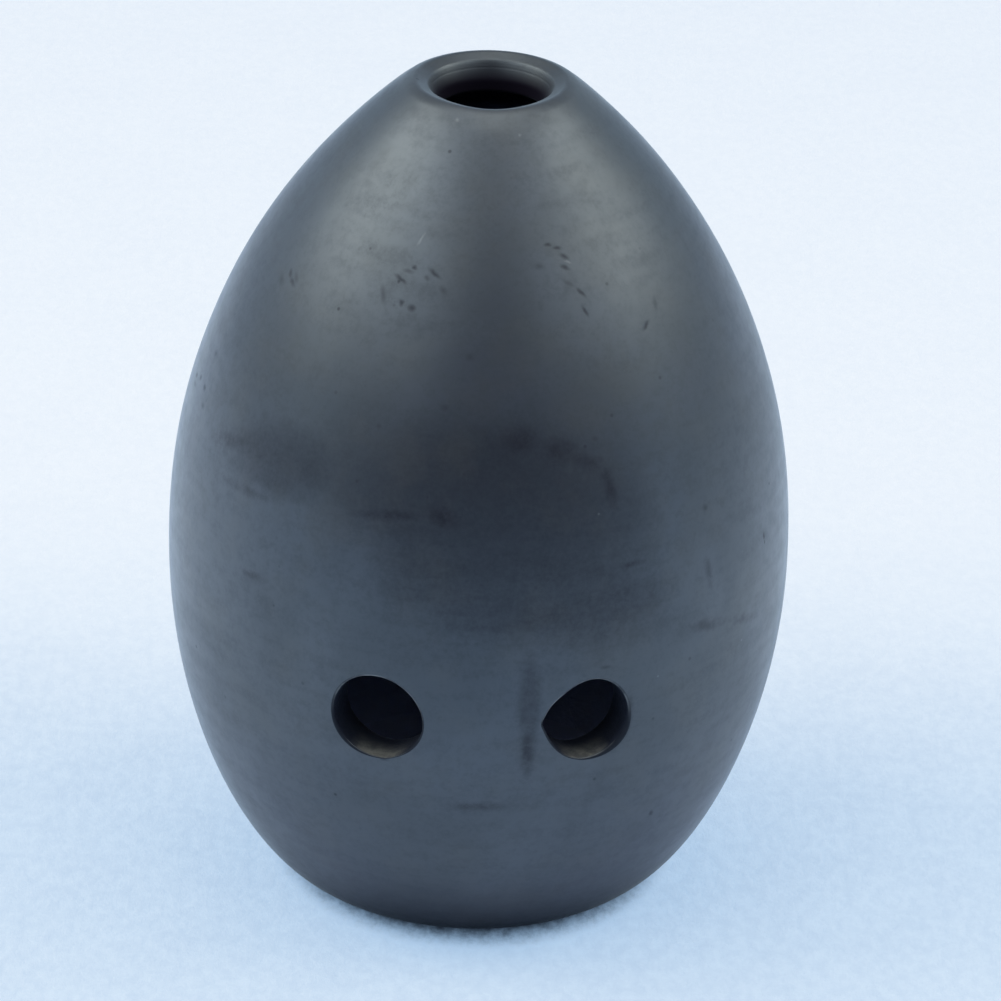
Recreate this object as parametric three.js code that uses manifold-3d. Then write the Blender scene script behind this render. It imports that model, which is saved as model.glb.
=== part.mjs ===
// Xun: an egg-shaped clay vessel flute with a flat foot, a blow hole on top and eight finger holes.
// Millimetres, +Z up, origin at the centre of the foot. The player's side, with the thumb holes, faces -Y,
// and the player's left hand is towards -X.
// The body is made as the potter joins it: foot slab, lower wall, upper wall, mouth ring, face to face.

import * as THREE from 'three';
import { mergeVertices } from 'three/addons/utils/BufferGeometryUtils.js';
import Module from 'manifold-3d';

const wasm = await Module();
wasm.setup();

const radians = THREE.MathUtils.degToRad;

// Outside of the egg
const height = 103;
const bellyRadius = 38;
const bellyHeight = 42.5;
const footRadius = 21.5;
const footEdgeRadius = 3.5;
const footRiseAngle = radians(35);
const shoulderAngle = radians(41);
const crownRounding = 3.2;

// How far each curve holds its end direction, as shares of its rise between foot, belly and shoulder
const lowerFootShare = 0.21;
const lowerBellyShare = 0.46;
const upperBellyShare = 0.365;
const upperShoulderShare = 0.425;

// Blow hole: a small chamfer inside the crown, then a steep bevel down to a short straight throat
const throatRadius = 6.65;
const throatLength = 1.4;
const bevelWidth = 0.95;
const bevelDepth = 2.1;
const chamferWidth = 0.9;

// Thickness of the clay, and the angles of the chamber's wall at the floor and at the roof
const wall = 5;
const floorThickness = 7;
const chamberRiseAngle = radians(30);
const chamberRoofAngle = radians(28);
const chamberLowerFloorShare = 0.2;
const chamberLowerBellyShare = 0.45;
const chamberUpperBellyShare = 0.4;
const chamberUpperRoofShare = 0.3;

// Height of the ring that is joined on last
const mouthRingHeight = 7;

// Finger holes: each pair's height, counted from the pair below or from the joint of the two shells,
// and its angle from the middle of its side
const ringHoleHeight = 29;
const middleAboveRing = 12;
const indexAboveMiddle = 12.5;
const thumbBelowJoint = 11.55;
const ringHoleAngle = radians(38);
const middleHoleAngle = radians(24);
const indexHoleAngle = radians(14);
const thumbHoleAngle = radians(19.2);

// Hole radii in the order in which the scale opens them, each tuned by itself
const rightRingHoleRadius = 2.9;
const rightMiddleHoleRadius = 3.25;
const rightIndexHoleRadius = 2.5;
const leftRingHoleRadius = 3.85;
const leftMiddleHoleRadius = 4.3;
const leftIndexHoleRadius = 3.3;
const rightThumbHoleRadius = 5.35;
const leftThumbHoleRadius = 5.55;

// Softened edge round each finger hole, and how far every cutter runs past what it cuts
const holeEase = 0.6;
const overrun = 8;

// Facets
const turns = 60;
const holeSides = 28;
const curveSteps = 9;
const roundingSteps = 3;

const clay = { color: 0x2b2e36, roughness: 0.38, metalness: 0 };

// A point of a profile: distance from the axis, height
function point(radius, z) {
  return new THREE.Vector2(radius, z);
}

// The unit direction that leans by an angle above the horizontal, outwards or inwards
function lean(angle, side) {
  return point(side * Math.cos(angle), Math.sin(angle));
}

// A curve from a lower end to the belly's widest line, or from there to an upper end
function sweep(low, lowDirection, lowReach, high, highDirection, highReach) {
  const lowHandle = low.clone().addScaledVector(lowDirection, lowReach);
  const highHandle = high.clone().addScaledVector(highDirection, -highReach);
  return new THREE.CubicBezierCurve(low, lowHandle, highHandle, high).getPoints(curveSteps);
}

// Points on an arc that starts at the angle from the vertical and ends at the other
function rounding(centre, radius, from, to) {
  const points = [];
  for (let i = 0; i <= roundingSteps; i += 1) {
    const angle = THREE.MathUtils.lerp(from, to, i / roundingSteps);
    points.push(point(centre.x + radius * Math.sin(angle), centre.y + radius * Math.cos(angle)));
  }
  return points;
}

// The rim of the blow hole's chamfer is the crown's highest ring
const crownRadius = throatRadius + bevelWidth + chamferWidth;
const lipThickness = chamferWidth + bevelDepth + throatLength;

// Outer line, from the middle of the foot up to the crown's highest ring
function outerLine() {
  const up = point(0, 1);
  const footCentre = point(footRadius, footEdgeRadius);
  const footEdge = rounding(footCentre, footEdgeRadius, Math.PI, Math.PI - footRiseAngle);
  const crownCentre = point(crownRadius, height - crownRounding);
  const crown = rounding(crownCentre, crownRounding, shoulderAngle, 0);
  const foot = footEdge.at(-1);
  const shoulder = crown[0];
  const belly = point(bellyRadius, bellyHeight);
  const lowerRise = belly.y - foot.y;
  const upperRise = shoulder.y - belly.y;
  const lower = sweep(foot, lean(footRiseAngle, 1), lowerRise * lowerFootShare,
    belly, up, lowerRise * lowerBellyShare);
  const upper = sweep(belly, up, upperRise * upperBellyShare,
    shoulder, lean(shoulderAngle, -1), upperRise * upperShoulderShare);
  return [point(0, 0), ...footEdge, ...lower.slice(1), ...upper.slice(1), ...crown.slice(1)];
}

// Chamber line, from the rim of the floor up to the lower edge of the throat
function chamberLine() {
  const up = point(0, 1);
  const floorRim = point(footRadius, floorThickness);
  const belly = point(bellyRadius - wall, bellyHeight);
  const roof = point(throatRadius, height - lipThickness);
  const lowerRise = belly.y - floorRim.y;
  const upperRise = roof.y - belly.y;
  const lower = sweep(floorRim, lean(chamberRiseAngle, 1), lowerRise * chamberLowerFloorShare,
    belly, up, lowerRise * chamberLowerBellyShare);
  const upper = sweep(belly, up, upperRise * chamberUpperBellyShare,
    roof, lean(chamberRoofAngle, -1), upperRise * chamberUpperRoofShare);
  return [...lower, ...upper.slice(1)];
}

// The two ends of the straight piece of a rising line that holds a height
function spanAt(line, level) {
  const next = Math.max(line.findIndex((end) => end.y >= level), 1);
  return [line[next - 1], line[next]];
}

function radiusAt(line, level) {
  const [start, end] = spanAt(line, level);
  return THREE.MathUtils.mapLinear(level, start.y, end.y, start.x, end.x);
}

// The part of a rising line below a height, ending exactly there
function below(line, level) {
  return [...line.filter((end) => end.y < level), point(radiusAt(line, level), level)];
}

// The part of a rising line above a height, starting exactly there
function above(line, level) {
  return [point(radiusAt(line, level), level), ...line.filter((end) => end.y > level)];
}

// A closed geometry as a solid for cutting
function solid(geometry) {
  geometry.deleteAttribute('normal');
  geometry.deleteAttribute('uv');
  const merged = mergeVertices(geometry);
  return new wasm.Manifold(new wasm.Mesh({
    numProp: 3,
    vertProperties: Float32Array.from(merged.attributes.position.array),
    triVerts: Uint32Array.from(merged.index.array),
  }));
}

// A solid back as a geometry
function geometryOf(body) {
  const mesh = body.getMesh();
  const geometry = new THREE.BufferGeometry();
  geometry.setAttribute('position', new THREE.BufferAttribute(mesh.vertProperties, 3));
  geometry.setIndex(new THREE.BufferAttribute(mesh.triVerts, 1));
  geometry.computeVertexNormals();
  return geometry;
}

// A profile turned round the vertical axis
function turned(points) {
  const geometry = new THREE.LatheGeometry(points, turns);
  geometry.rotateX(Math.PI / 2);
  return geometry;
}

const outer = outerLine();
const chamber = chamberLine();

// The two shells meet midway between the middle and index finger holes, clear of both
const middleHoleHeight = ringHoleHeight + middleAboveRing;
const indexHoleHeight = middleHoleHeight + indexAboveMiddle;
const middleHoleTop = middleHoleHeight + Math.max(rightMiddleHoleRadius, leftMiddleHoleRadius);
const indexHoleBottom = indexHoleHeight - Math.max(rightIndexHoleRadius, leftIndexHoleRadius);
const jointHeight = (middleHoleTop + indexHoleBottom) / 2;
const thumbHoleHeight = jointHeight - thumbBelowJoint;
const mouthJointHeight = height - mouthRingHeight;

// A ring of wall between two joints
function wallBetween(low, high) {
  const outside = above(below(outer, high), low);
  const inside = above(below(chamber, high), low);
  return turned([...outside, ...inside.reverse(), outside[0]]);
}

function footSlab() {
  return turned([...below(outer, floorThickness), point(0, floorThickness)]);
}

// The ring that closes the shoulder: crown, chamfer, bevel, throat and the chamber's roof
function mouthRing() {
  const outside = above(outer, mouthJointHeight);
  const inside = above(chamber, mouthJointHeight);
  const chamferFoot = point(crownRadius - chamferWidth, height - chamferWidth);
  const throat = point(throatRadius, chamferFoot.y - bevelDepth);
  return turned([...outside, chamferFoot, throat, ...inside.reverse(), outside[0]]);
}

// A cutter turned round an axis that leaves a base point along a direction
function cutter(points, base, direction) {
  const geometry = new THREE.LatheGeometry(points, holeSides);
  const lathed = new THREE.Vector3(0, 1, 0);
  geometry.applyQuaternion(new THREE.Quaternion().setFromUnitVectors(lathed, direction));
  geometry.translate(base.x, base.y, base.z);
  return solid(geometry);
}

// The cutter of one finger hole: a level bore towards the axis, and a countersink square to the
// sloping surface, deep enough to soften the edge all round on the curved wall
function holeCutter(hole) {
  const outwards = new THREE.Vector3(Math.cos(hole.heading), Math.sin(hole.heading), 0);
  const surface = radiusAt(outer, hole.height);
  const centre = outwards.clone().multiplyScalar(surface).setZ(hole.height);
  const boreLength = wall + overrun;
  const bore = cutter([
    point(0, -boreLength),
    point(hole.radius, -boreLength),
    point(hole.radius, overrun),
    point(0, overrun),
  ], centre, outwards);
  const [start, end] = spanAt(outer, hole.height);
  const square = outwards.clone().multiplyScalar(end.y - start.y).setZ(start.x - end.x).normalize();
  const edgeRadius = hole.radius + holeEase;
  const sinkDepth = holeEase + edgeRadius ** 2 / (surface + surface);
  const sink = cutter([
    point(0, -sinkDepth),
    point(hole.radius, -sinkDepth),
    point(hole.radius + sinkDepth + overrun, overrun),
    point(0, overrun),
  ], centre, square);
  return bore.add(sink);
}

// Headings run from +X towards +Y: the fingers' side is +Y, the thumbs' side -Y, the left hand at -X
const fingersMiddle = Math.PI / 2;
const thumbsMiddle = -Math.PI / 2;
const holes = [
  { radius: leftIndexHoleRadius, height: indexHoleHeight, heading: fingersMiddle + indexHoleAngle },
  { radius: rightIndexHoleRadius, height: indexHoleHeight, heading: fingersMiddle - indexHoleAngle },
  { radius: leftMiddleHoleRadius, height: middleHoleHeight, heading: fingersMiddle + middleHoleAngle },
  { radius: rightMiddleHoleRadius, height: middleHoleHeight, heading: fingersMiddle - middleHoleAngle },
  { radius: leftRingHoleRadius, height: ringHoleHeight, heading: fingersMiddle + ringHoleAngle },
  { radius: rightRingHoleRadius, height: ringHoleHeight, heading: fingersMiddle - ringHoleAngle },
  { radius: leftThumbHoleRadius, height: thumbHoleHeight, heading: thumbsMiddle - thumbHoleAngle },
  { radius: rightThumbHoleRadius, height: thumbHoleHeight, heading: thumbsMiddle + thumbHoleAngle },
];

// A wall with every finger hole cut through it where it crosses
function bored(geometry) {
  let body = solid(geometry);
  for (const hole of holes) {
    body = body.subtract(holeCutter(hole));
  }
  return geometryOf(body);
}

function piece(name, geometry) {
  const mesh = new THREE.Mesh(geometry, new THREE.MeshStandardMaterial(clay));
  mesh.name = name;
  return mesh;
}

const xun = new THREE.Group();
xun.add(piece('foot_slab', footSlab()));
xun.add(piece('lower_shell', bored(wallBetween(floorThickness, jointHeight))));
xun.add(piece('upper_shell', bored(wallBetween(jointHeight, mouthJointHeight))));
xun.add(piece('mouth_ring', mouthRing()));

export default xun;
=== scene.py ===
# Looks of the xun: burnished, smoke-fired black clay on a pale cloth, seen from the player's side.
# Metres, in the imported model's frame: +Z up, origin at the centre of the foot, player's side at -Y.

import math
from bisect import bisect, bisect_left

import bpy
from mathutils import Matrix, Vector, kdtree, noise
from mathutils.geometry import interpolate_bezier


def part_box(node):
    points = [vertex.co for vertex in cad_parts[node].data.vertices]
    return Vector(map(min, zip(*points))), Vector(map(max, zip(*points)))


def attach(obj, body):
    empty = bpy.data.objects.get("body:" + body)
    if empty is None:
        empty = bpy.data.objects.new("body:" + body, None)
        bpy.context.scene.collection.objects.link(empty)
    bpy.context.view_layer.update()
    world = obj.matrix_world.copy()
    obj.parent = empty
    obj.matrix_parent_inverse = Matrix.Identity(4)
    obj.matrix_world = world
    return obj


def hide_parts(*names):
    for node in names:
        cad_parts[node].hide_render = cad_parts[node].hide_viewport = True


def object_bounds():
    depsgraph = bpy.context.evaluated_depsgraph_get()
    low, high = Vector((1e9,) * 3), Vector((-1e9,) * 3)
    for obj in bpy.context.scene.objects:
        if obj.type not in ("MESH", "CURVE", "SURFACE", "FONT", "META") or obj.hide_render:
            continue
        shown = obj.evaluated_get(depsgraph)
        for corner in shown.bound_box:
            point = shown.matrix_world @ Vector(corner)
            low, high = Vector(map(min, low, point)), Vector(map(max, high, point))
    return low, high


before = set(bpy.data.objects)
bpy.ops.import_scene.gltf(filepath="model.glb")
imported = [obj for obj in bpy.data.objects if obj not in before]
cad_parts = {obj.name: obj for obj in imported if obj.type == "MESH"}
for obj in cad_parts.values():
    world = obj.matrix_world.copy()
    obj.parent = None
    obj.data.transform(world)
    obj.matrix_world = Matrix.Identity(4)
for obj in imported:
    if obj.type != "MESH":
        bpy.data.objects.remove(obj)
cad_low, cad_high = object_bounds()

MM = 0.001

# Outside of the egg; the frame gives the overall sizes and the levels of the joints. The shares
# say for how much of the rise each end of a curve holds its direction
HEIGHT = cad_high.z
BELLY_RADIUS = cad_high.x
FLOOR_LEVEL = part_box("lower_shell")[0].z
JOINT_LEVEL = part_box("upper_shell")[0].z
MOUTH_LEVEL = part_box("mouth_ring")[0].z
BELLY_LEVEL = 42.5 * MM
FOOT_RADIUS = 21.5 * MM
FOOT_EDGE_RADIUS = 3.5 * MM
FOOT_RISE = math.radians(35)
SHOULDER_FALL = math.radians(41)
CROWN_ROUNDING = 3.2 * MM
LOWER_SHARES = (0.21, 0.46)
UPPER_SHARES = (0.365, 0.425)

# Blow hole
THROAT_RADIUS = 6.65 * MM
THROAT_LENGTH = 1.4 * MM
BEVEL_WIDTH = 0.95 * MM
BEVEL_DEPTH = 2.1 * MM
CHAMFER_WIDTH = 0.9 * MM
RIM_RADIUS = THROAT_RADIUS + BEVEL_WIDTH
LIP_THICKNESS = CHAMFER_WIDTH + BEVEL_DEPTH + THROAT_LENGTH
EDGE_SOFTENING = 0.28 * MM

# Points of the profiles, as (radius, height), and the way up
CROWN_CENTRE = Vector((RIM_RADIUS + CHAMFER_WIDTH, HEIGHT - CROWN_ROUNDING))
ROOF = Vector((THROAT_RADIUS, HEIGHT - LIP_THICKNESS))
UP = Vector((0, 1))

# Wear of the crown: a rounded crest that falls in to the rim, lowest under the player's lip, and
# a step low on the bevel
CREST_ANGLE = math.radians(16)
CREST_ROUNDING = 0.9 * MM
CREST_FALL = math.radians(23)
CREST_WEAR = 0.16 * MM
CREST_WEAR_REACH = 2.2 * MM
LIP_WEAR = 0.23 * MM
LIP_WEAR_WIDTH = math.radians(28)
STEP_WIDTH = 0.6 * MM
STEP_DEPTH = 1.45 * MM

# Chamber
WALL = 5 * MM
FLOOR_RISE = math.radians(30)
ROOF_FALL = math.radians(28)
CHAMBER_LOWER_SHARES = (0.2, 0.45)
CHAMBER_UPPER_SHARES = (0.4, 0.3)

# Width of the eased edges of the finger holes, outside and inside
HOLE_EASE = 0.42 * MM
INNER_EASE = 0.3 * MM

# Handmade unevenness of the outside: how deep the hollows are and how wide
UNEVENNESS = 0.16 * MM
UNEVEN_WIDTH = 17 * MM

# The dished base, and the fine rings that the turning tool left on the bevel
DISH_DEPTH = 0.35 * MM
DISH_EDGE_SHARE = 0.07
GROOVE_DEPTH = 0.012 * MM
GROOVES = 2

# Mesh density: steps of the surfaces and curves, and the rings of the foot's two discs
COLUMNS = 288
WALL_STEP = 0.9 * MM
FINE_STEP = 0.4 * MM
BEVEL_STEP = 0.09 * MM
CURVE_STEPS = 160
ARC_STEPS = 12
NORMAL_STEP = 0.05 * MM
DISH_RINGS = (0.99, 0.975, 0.96, 0.945, 0.93, 0.8, 0.6, 0.4, 0.2)
FLOOR_RINGS = (0.85, 0.6, 0.35, 0.12)

# Mesh density round a hole: its window's margin, and the rings in the window, round the edge and
# through the bore
WINDOW_MARGIN = 0.5 * MM
WINDOW_TURNS = [math.radians(angle) for angle in range(0, 360, 5)]
WINDOW_RINGS = 6
EASE_RINGS = 6
BORE_RINGS = 8

# Of the rings round the edge, the last ones are bare, and before them the slip is worn through,
# with painted edge light where they tilt up or down
BARE_EDGE_RINGS = 2
WORN_EDGE_RINGS = 3

# The pieces' material slots
BURNISHED, BARE, SCUFFED, WORN = range(4)


def smooth(share):
    """A share kept from 0 to 1, with a soft start and end."""
    share = min(1, max(0, share))
    return share * share * (3 - 2 * share)


def lean(angle, side):
    """The unit direction that leans by an angle above the horizontal, outwards or inwards."""
    return Vector((side * math.cos(angle), math.sin(angle)))


def sweep(low, low_direction, high, high_direction, shares):
    """A curve from one end to the other that holds each end direction for a share of the rise."""
    rise = high.y - low.y
    handles = low + low_direction * rise * shares[0], high - high_direction * rise * shares[1]
    return [p.to_2d() for p in interpolate_bezier(low, *handles, high, CURVE_STEPS)]


def rounding(centre, radius, start, end):
    """Points on an arc between two angles from the vertical."""
    angles = [start + (end - start) * i / ARC_STEPS for i in range(ARC_STEPS + 1)]
    return [centre + radius * Vector((math.sin(a), math.cos(a))) for a in angles]


def outer_line():
    """The outside's profile as (radius, height), from the foot's rim to the crown's top ring."""
    belly = Vector((BELLY_RADIUS, BELLY_LEVEL))
    foot_centre = Vector((FOOT_RADIUS, FOOT_EDGE_RADIUS))
    foot_edge = rounding(foot_centre, FOOT_EDGE_RADIUS, math.pi, math.pi - FOOT_RISE)
    crown = rounding(CROWN_CENTRE, CROWN_ROUNDING, SHOULDER_FALL, 0)
    lower = sweep(foot_edge[-1], lean(FOOT_RISE, 1), belly, UP, LOWER_SHARES)
    upper = sweep(belly, UP, crown[0], lean(SHOULDER_FALL, -1), UPPER_SHARES)
    return foot_edge + lower[1:] + upper[1:] + crown[1:]


def chamber_line():
    """The chamber's profile, from the rim of the floor to the lower edge of the throat."""
    belly = Vector((BELLY_RADIUS - WALL, BELLY_LEVEL))
    floor_rim = Vector((FOOT_RADIUS, FLOOR_LEVEL))
    lower = sweep(floor_rim, lean(FLOOR_RISE, 1), belly, UP, CHAMBER_LOWER_SHARES)
    upper = sweep(belly, UP, ROOF, lean(ROOF_FALL, -1), CHAMBER_UPPER_SHARES)
    return lower + upper[1:]


def resample(line, step):
    """Points along a line, evenly spaced close to the step asked for, with both ends kept."""
    travelled = [0]
    for start, end in zip(line, line[1:]):
        travelled.append(travelled[-1] + (end - start).length)
    count = max(1, round(travelled[-1] / step))
    points = []
    for i in range(count + 1):
        target = travelled[-1] * i / count
        after = bisect_left(travelled, target, 1, len(line) - 1)
        share = (target - travelled[after - 1]) / (travelled[after] - travelled[after - 1])
        points.append(line[after - 1].lerp(line[after], share))
    return points


def softened(corners, reach):
    """A line whose inner corners are replaced by small curves that start a reach away from them."""
    line = [corners[0]]
    for before, corner, after in zip(corners, corners[1:], corners[2:]):
        start = corner + (before - corner).normalized() * reach
        end = corner + (after - corner).normalized() * reach
        for i in range(ARC_STEPS + 1):
            share = i / ARC_STEPS
            line.append(start.lerp(corner, share).lerp(corner.lerp(end, share), share))
    line.append(corners[-1])
    return line


def radius_at(line, level):
    """The radius of a rising line at a height."""
    after = bisect(line, level, 1, len(line) - 1, key=lambda point: point.y)
    start, end = line[after - 1], line[after]
    share = (level - start.y) / (end.y - start.y)
    return start.x + (end.x - start.x) * share


def between(line, low, high):
    """The part of a rising line between two heights, with points exactly at both."""
    inner = [p for p in line if low < p.y < high]
    return [Vector((radius_at(line, low), low)), *inner, Vector((radius_at(line, high), high))]


OUTER = outer_line()
CHAMBER = chamber_line()


def unevenness(point):
    """How far the surface lies inside the true turned form at a point, as a hand leaves it."""
    return -UNEVENNESS * (0.5 + 0.5 * noise.noise(point / UNEVEN_WIDTH))


def turned_point(profile_point, azimuth):
    """A point of a turned surface, with the hand's unevenness."""
    radius, level = profile_point
    direction = Vector((math.cos(azimuth), math.sin(azimuth), 0))
    true_point = direction * radius + Vector((0, 0, level))
    return true_point + direction * unevenness(true_point)


def outside(azimuth, level):
    """A point of the outside at an azimuth and a height."""
    return turned_point((radius_at(OUTER, level), level), azimuth)


def inside(azimuth, level):
    """A point of the chamber's wall at an azimuth and a height."""
    return turned_point((radius_at(CHAMBER, level), level), azimuth)


def azimuth_of(column):
    """The azimuth of a column of the grid that every ring shares."""
    return math.tau * column / COLUMNS


def turned_ring(profile_point):
    """A turned surface's points at one point of its profile, one for each column."""
    return [turned_point(profile_point, azimuth_of(column)) for column in range(COLUMNS)]


class Skin:
    """A closed mesh under construction, mostly in quads, with the joint faces kept flat."""

    def __init__(self):
        self.points = []
        self.faces = []
        self.slots = []
        self.flat = []
        self.true_normals = {}

    def ring(self, points):
        """Add a ring of points, and give their numbers."""
        first = len(self.points)
        self.points.extend(points)
        return list(range(first, len(self.points)))

    def face(self, corners, slot, flat=False):
        """Add a face, with its material slot."""
        self.faces.append(corners)
        self.slots.append(slot)
        self.flat.append(flat)

    def bridge(self, first, second, slot, flat=False):
        """Quads between two rings; with the first outside, both are seen to run anticlockwise."""
        count = len(first)
        for k in range(count):
            after = (k + 1) % count
            self.face((first[k], first[after], second[after], second[k]), slot, flat)

    def lathe(self, profile, burnished_rows):
        """The rings of a turned surface, burnished up to a row and bare after it."""
        rings = [self.ring(turned_ring(profile_point)) for profile_point in profile]
        for row, (low, high) in enumerate(zip(rings, rings[1:])):
            self.bridge(low, high, BURNISHED if row < burnished_rows else BARE)
        return rings

    def disc(self, rim, level, radii, slot, upwards):
        """A flat disc from a ring to the axis."""
        before = rim
        for radius in radii:
            after = self.ring(turned_ring((radius, level)))
            pair = (before, after) if upwards else (after, before)
            self.bridge(*pair, slot)
            before = after
        centre = self.ring([Vector((0, 0, level))])[0]
        for k in range(COLUMNS):
            ends = before[k], before[(k + 1) % COLUMNS]
            self.face((*ends, centre) if upwards else (*ends[::-1], centre), slot)

    def true_ring(self, ring, surface, level, side=1):
        """Give a ring the normals of the turned surface that it lies on, or their opposites."""
        for column, index in enumerate(ring):
            self.true_normals[index] = side * surface_normal(surface, azimuth_of(column), level)

    def smooth_normals(self):
        """A normal for each point from the faces round it, leaving out the flat joint faces."""
        normals = [Vector() for _ in self.points]
        for corners, flat in zip(self.faces, self.flat):
            if flat:
                continue
            places = [self.points[c] for c in corners]
            area_normal = (places[2] - places[0]).cross(places[-1] - places[1])
            for c in corners:
                normals[c] += area_normal
        for index, normal in self.true_normals.items():
            normals[index] = normal
        return [n.normalized() for n in normals]

    def scuff(self):
        """Give the burnished faces round the marks of use the clay that shows them."""
        places = kdtree.KDTree(len(MARKS))
        reaches = []
        for number, mark in enumerate(MARKS):
            start, end = mark_ends(mark)
            places.insert((start + end) / 2, number)
            reaches.append((end - start).length / 2 + mark[4] * MM + MARK_MARGIN)
        places.balance()
        for number, (corners, slot) in enumerate(zip(self.faces, self.slots)):
            if slot != BURNISHED:
                continue
            middle = sum((self.points[c] for c in corners), Vector()) / len(corners)
            near = places.find_range(middle, max(reaches))
            if any(distance < reaches[mark] for _, mark, distance in near):
                self.slots[number] = SCUFFED

    def object(self, name, materials):
        """The finished mesh as an object in the scene."""
        self.scuff()
        mesh = bpy.data.meshes.new(name)
        mesh.from_pydata(self.points, [], self.faces)
        for material in materials:
            mesh.materials.append(material)
        mesh.polygons.foreach_set("material_index", self.slots)
        mesh.polygons.foreach_set("use_smooth", [True] * len(self.faces))
        mesh.update()
        normals = self.smooth_normals()
        corner_normals = []
        for polygon, flat in zip(mesh.polygons, self.flat):
            for corner in polygon.vertices:
                corner_normals.append(polygon.normal.copy() if flat else normals[corner])
        mesh.normals_split_custom_set(corner_normals)
        return in_scene(bpy.data.objects.new(name, mesh))


def in_scene(thing):
    """Put an object into the scene, and give it back."""
    bpy.context.scene.collection.objects.link(thing)
    return thing


def surface_normal(surface, azimuth, level):
    """The outward normal of a surface given by azimuth and height, by small differences."""
    turn = NORMAL_STEP / BELLY_RADIUS
    around = surface(azimuth + turn, level) - surface(azimuth - turn, level)
    upwards = surface(azimuth, level + NORMAL_STEP) - surface(azimuth, level - NORMAL_STEP)
    return around.cross(upwards).normalized()


def swelling(bumps, angle):
    """The height at an angle of a ring's bumps, each given as its angle, height and width."""
    height = 0.0
    for middle, rise, width in bumps:
        away = math.remainder(angle - math.radians(middle), math.tau)
        height += rise * math.exp(-((away / math.radians(width)) ** 2))
    return height


class Hole:
    """A level finger hole, in degrees and millimetres.

    Bumps of its outline are given as (angle, height, width), and so is the wear of its eased
    edge, as the share by which it widens.
    """

    def __init__(self, heading, level, radius, bumps=(), wear=()):
        self.heading = math.radians(heading)
        self.level = level * MM
        self.radius = radius * MM
        self.bumps = bumps
        self.wear = wear

    def reach(self, angle):
        """The outline's radius at an angle in the surface."""
        return self.radius + swelling(self.bumps, angle) * MM

    def ease(self, angle):
        """How far the eased edge reaches from the outline at an angle."""
        return HOLE_EASE * (1 + swelling(self.wear, angle))

    def local(self, line, azimuth, level):
        """Place beside and above the hole's axis of a point on a turned surface."""
        beside = radius_at(line, level) * math.sin(azimuth - self.heading)
        return Vector((beside, level - self.level))

    def on_surface(self, line, surface, place):
        """The point of a turned surface at a place given beside and above the hole's axis."""
        level = self.level + place.y
        azimuth = self.heading + math.asin(place.x / radius_at(line, level))
        return surface(azimuth, level)


# Headings of the middles of the two sides, and each finger's turn from there and height
PLAYER_SIDE = -90
FAR_SIDE = 90
THUMB_TURN, THUMB_LEVEL = 19.2, 36.2
RING_TURN, RING_LEVEL = 38, 29
MIDDLE_TURN, MIDDLE_LEVEL = 24, 41
INDEX_TURN, INDEX_LEVEL = 14, 53.5

LOWER_HOLES = [
    Hole(FAR_SIDE + RING_TURN, RING_LEVEL, 3.85, bumps=[(200, -0.08, 40)]),
    Hole(FAR_SIDE - RING_TURN, RING_LEVEL, 2.9, bumps=[(60, 0.07, 35)]),
    Hole(FAR_SIDE + MIDDLE_TURN, MIDDLE_LEVEL, 4.3, bumps=[(100, -0.1, 40)]),
    Hole(FAR_SIDE - MIDDLE_TURN, MIDDLE_LEVEL, 3.25, bumps=[(300, 0.07, 35)]),
    Hole(
        PLAYER_SIDE - THUMB_TURN,
        THUMB_LEVEL,
        5.5,
        bumps=[(215, 0.06, 30), (40, -0.08, 30), (281, 0.08, 9)],
        wear=[(220, 0.5, 35), (285, -0.6, 38)],
    ),
    Hole(
        PLAYER_SIDE + THUMB_TURN,
        THUMB_LEVEL,
        5.3,
        bumps=[(75, 0.22, 30), (128, -0.4, 30), (177, 0.28, 9), (212, -0.45, 34), (320, 0.1, 40)],
        wear=[(322, 1.6, 34), (245, -0.5, 32)],
    ),
]
UPPER_HOLES = [
    Hole(FAR_SIDE + INDEX_TURN, INDEX_LEVEL, 3.3, bumps=[(150, 0.08, 30)]),
    Hole(FAR_SIDE - INDEX_TURN, INDEX_LEVEL, 2.5, bumps=[(250, 0.06, 40)]),
]


def wall_shell(low, high, holes):
    """The skin of a ring of wall between two joints, with its finger holes."""
    skin = Skin()
    levels = [p.y for p in resample(between(OUTER, low, high), WALL_STEP)]
    levels[0], levels[-1] = low, high
    rows = len(levels)
    windows = [window_round(hole, levels) for hole in holes]

    def hidden(row, column):
        """Whether a point of the grid lies inside a hole's window."""
        return any(w[0] < row < w[1] and w[2] < column < w[3] for w in windows)

    def cut(row, column):
        """Whether a quad of the grid, named by its first corner, lies in a hole's window."""
        return any(w[0] <= row < w[1] and w[2] <= column < w[3] for w in windows)

    grids = []
    rims = []
    for surface, side in ((outside, 1), (inside, -1)):
        grid = []
        for row in range(rows):
            shown = [c for c in range(COLUMNS) if not hidden(row, c)]
            points = [surface(azimuth_of(c), levels[row]) for c in shown]
            grid.append(dict(zip(shown, skin.ring(points))))
        for row in range(rows - 1):
            for column in range(COLUMNS):
                if cut(row, column):
                    continue
                below, above, after = grid[row], grid[row + 1], (column + 1) % COLUMNS
                corners = below[column], below[after], above[after], above[column]
                slot = BURNISHED if side > 0 else BARE
                skin.face(corners if side > 0 else corners[::-1], slot)
        for row in (0, rows - 1):
            rims.append([grid[row][c] for c in range(COLUMNS)])
            skin.true_ring(rims[-1], surface, levels[row], side)
        grids.append(grid)
    outer_low, outer_high, inner_low, inner_high = rims
    skin.bridge(inner_low, outer_low, BARE, flat=True)
    skin.bridge(outer_high, inner_high, BARE, flat=True)
    for hole, window in zip(holes, windows):
        line_hole(skin, hole, window, levels, grids)
    return skin


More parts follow.
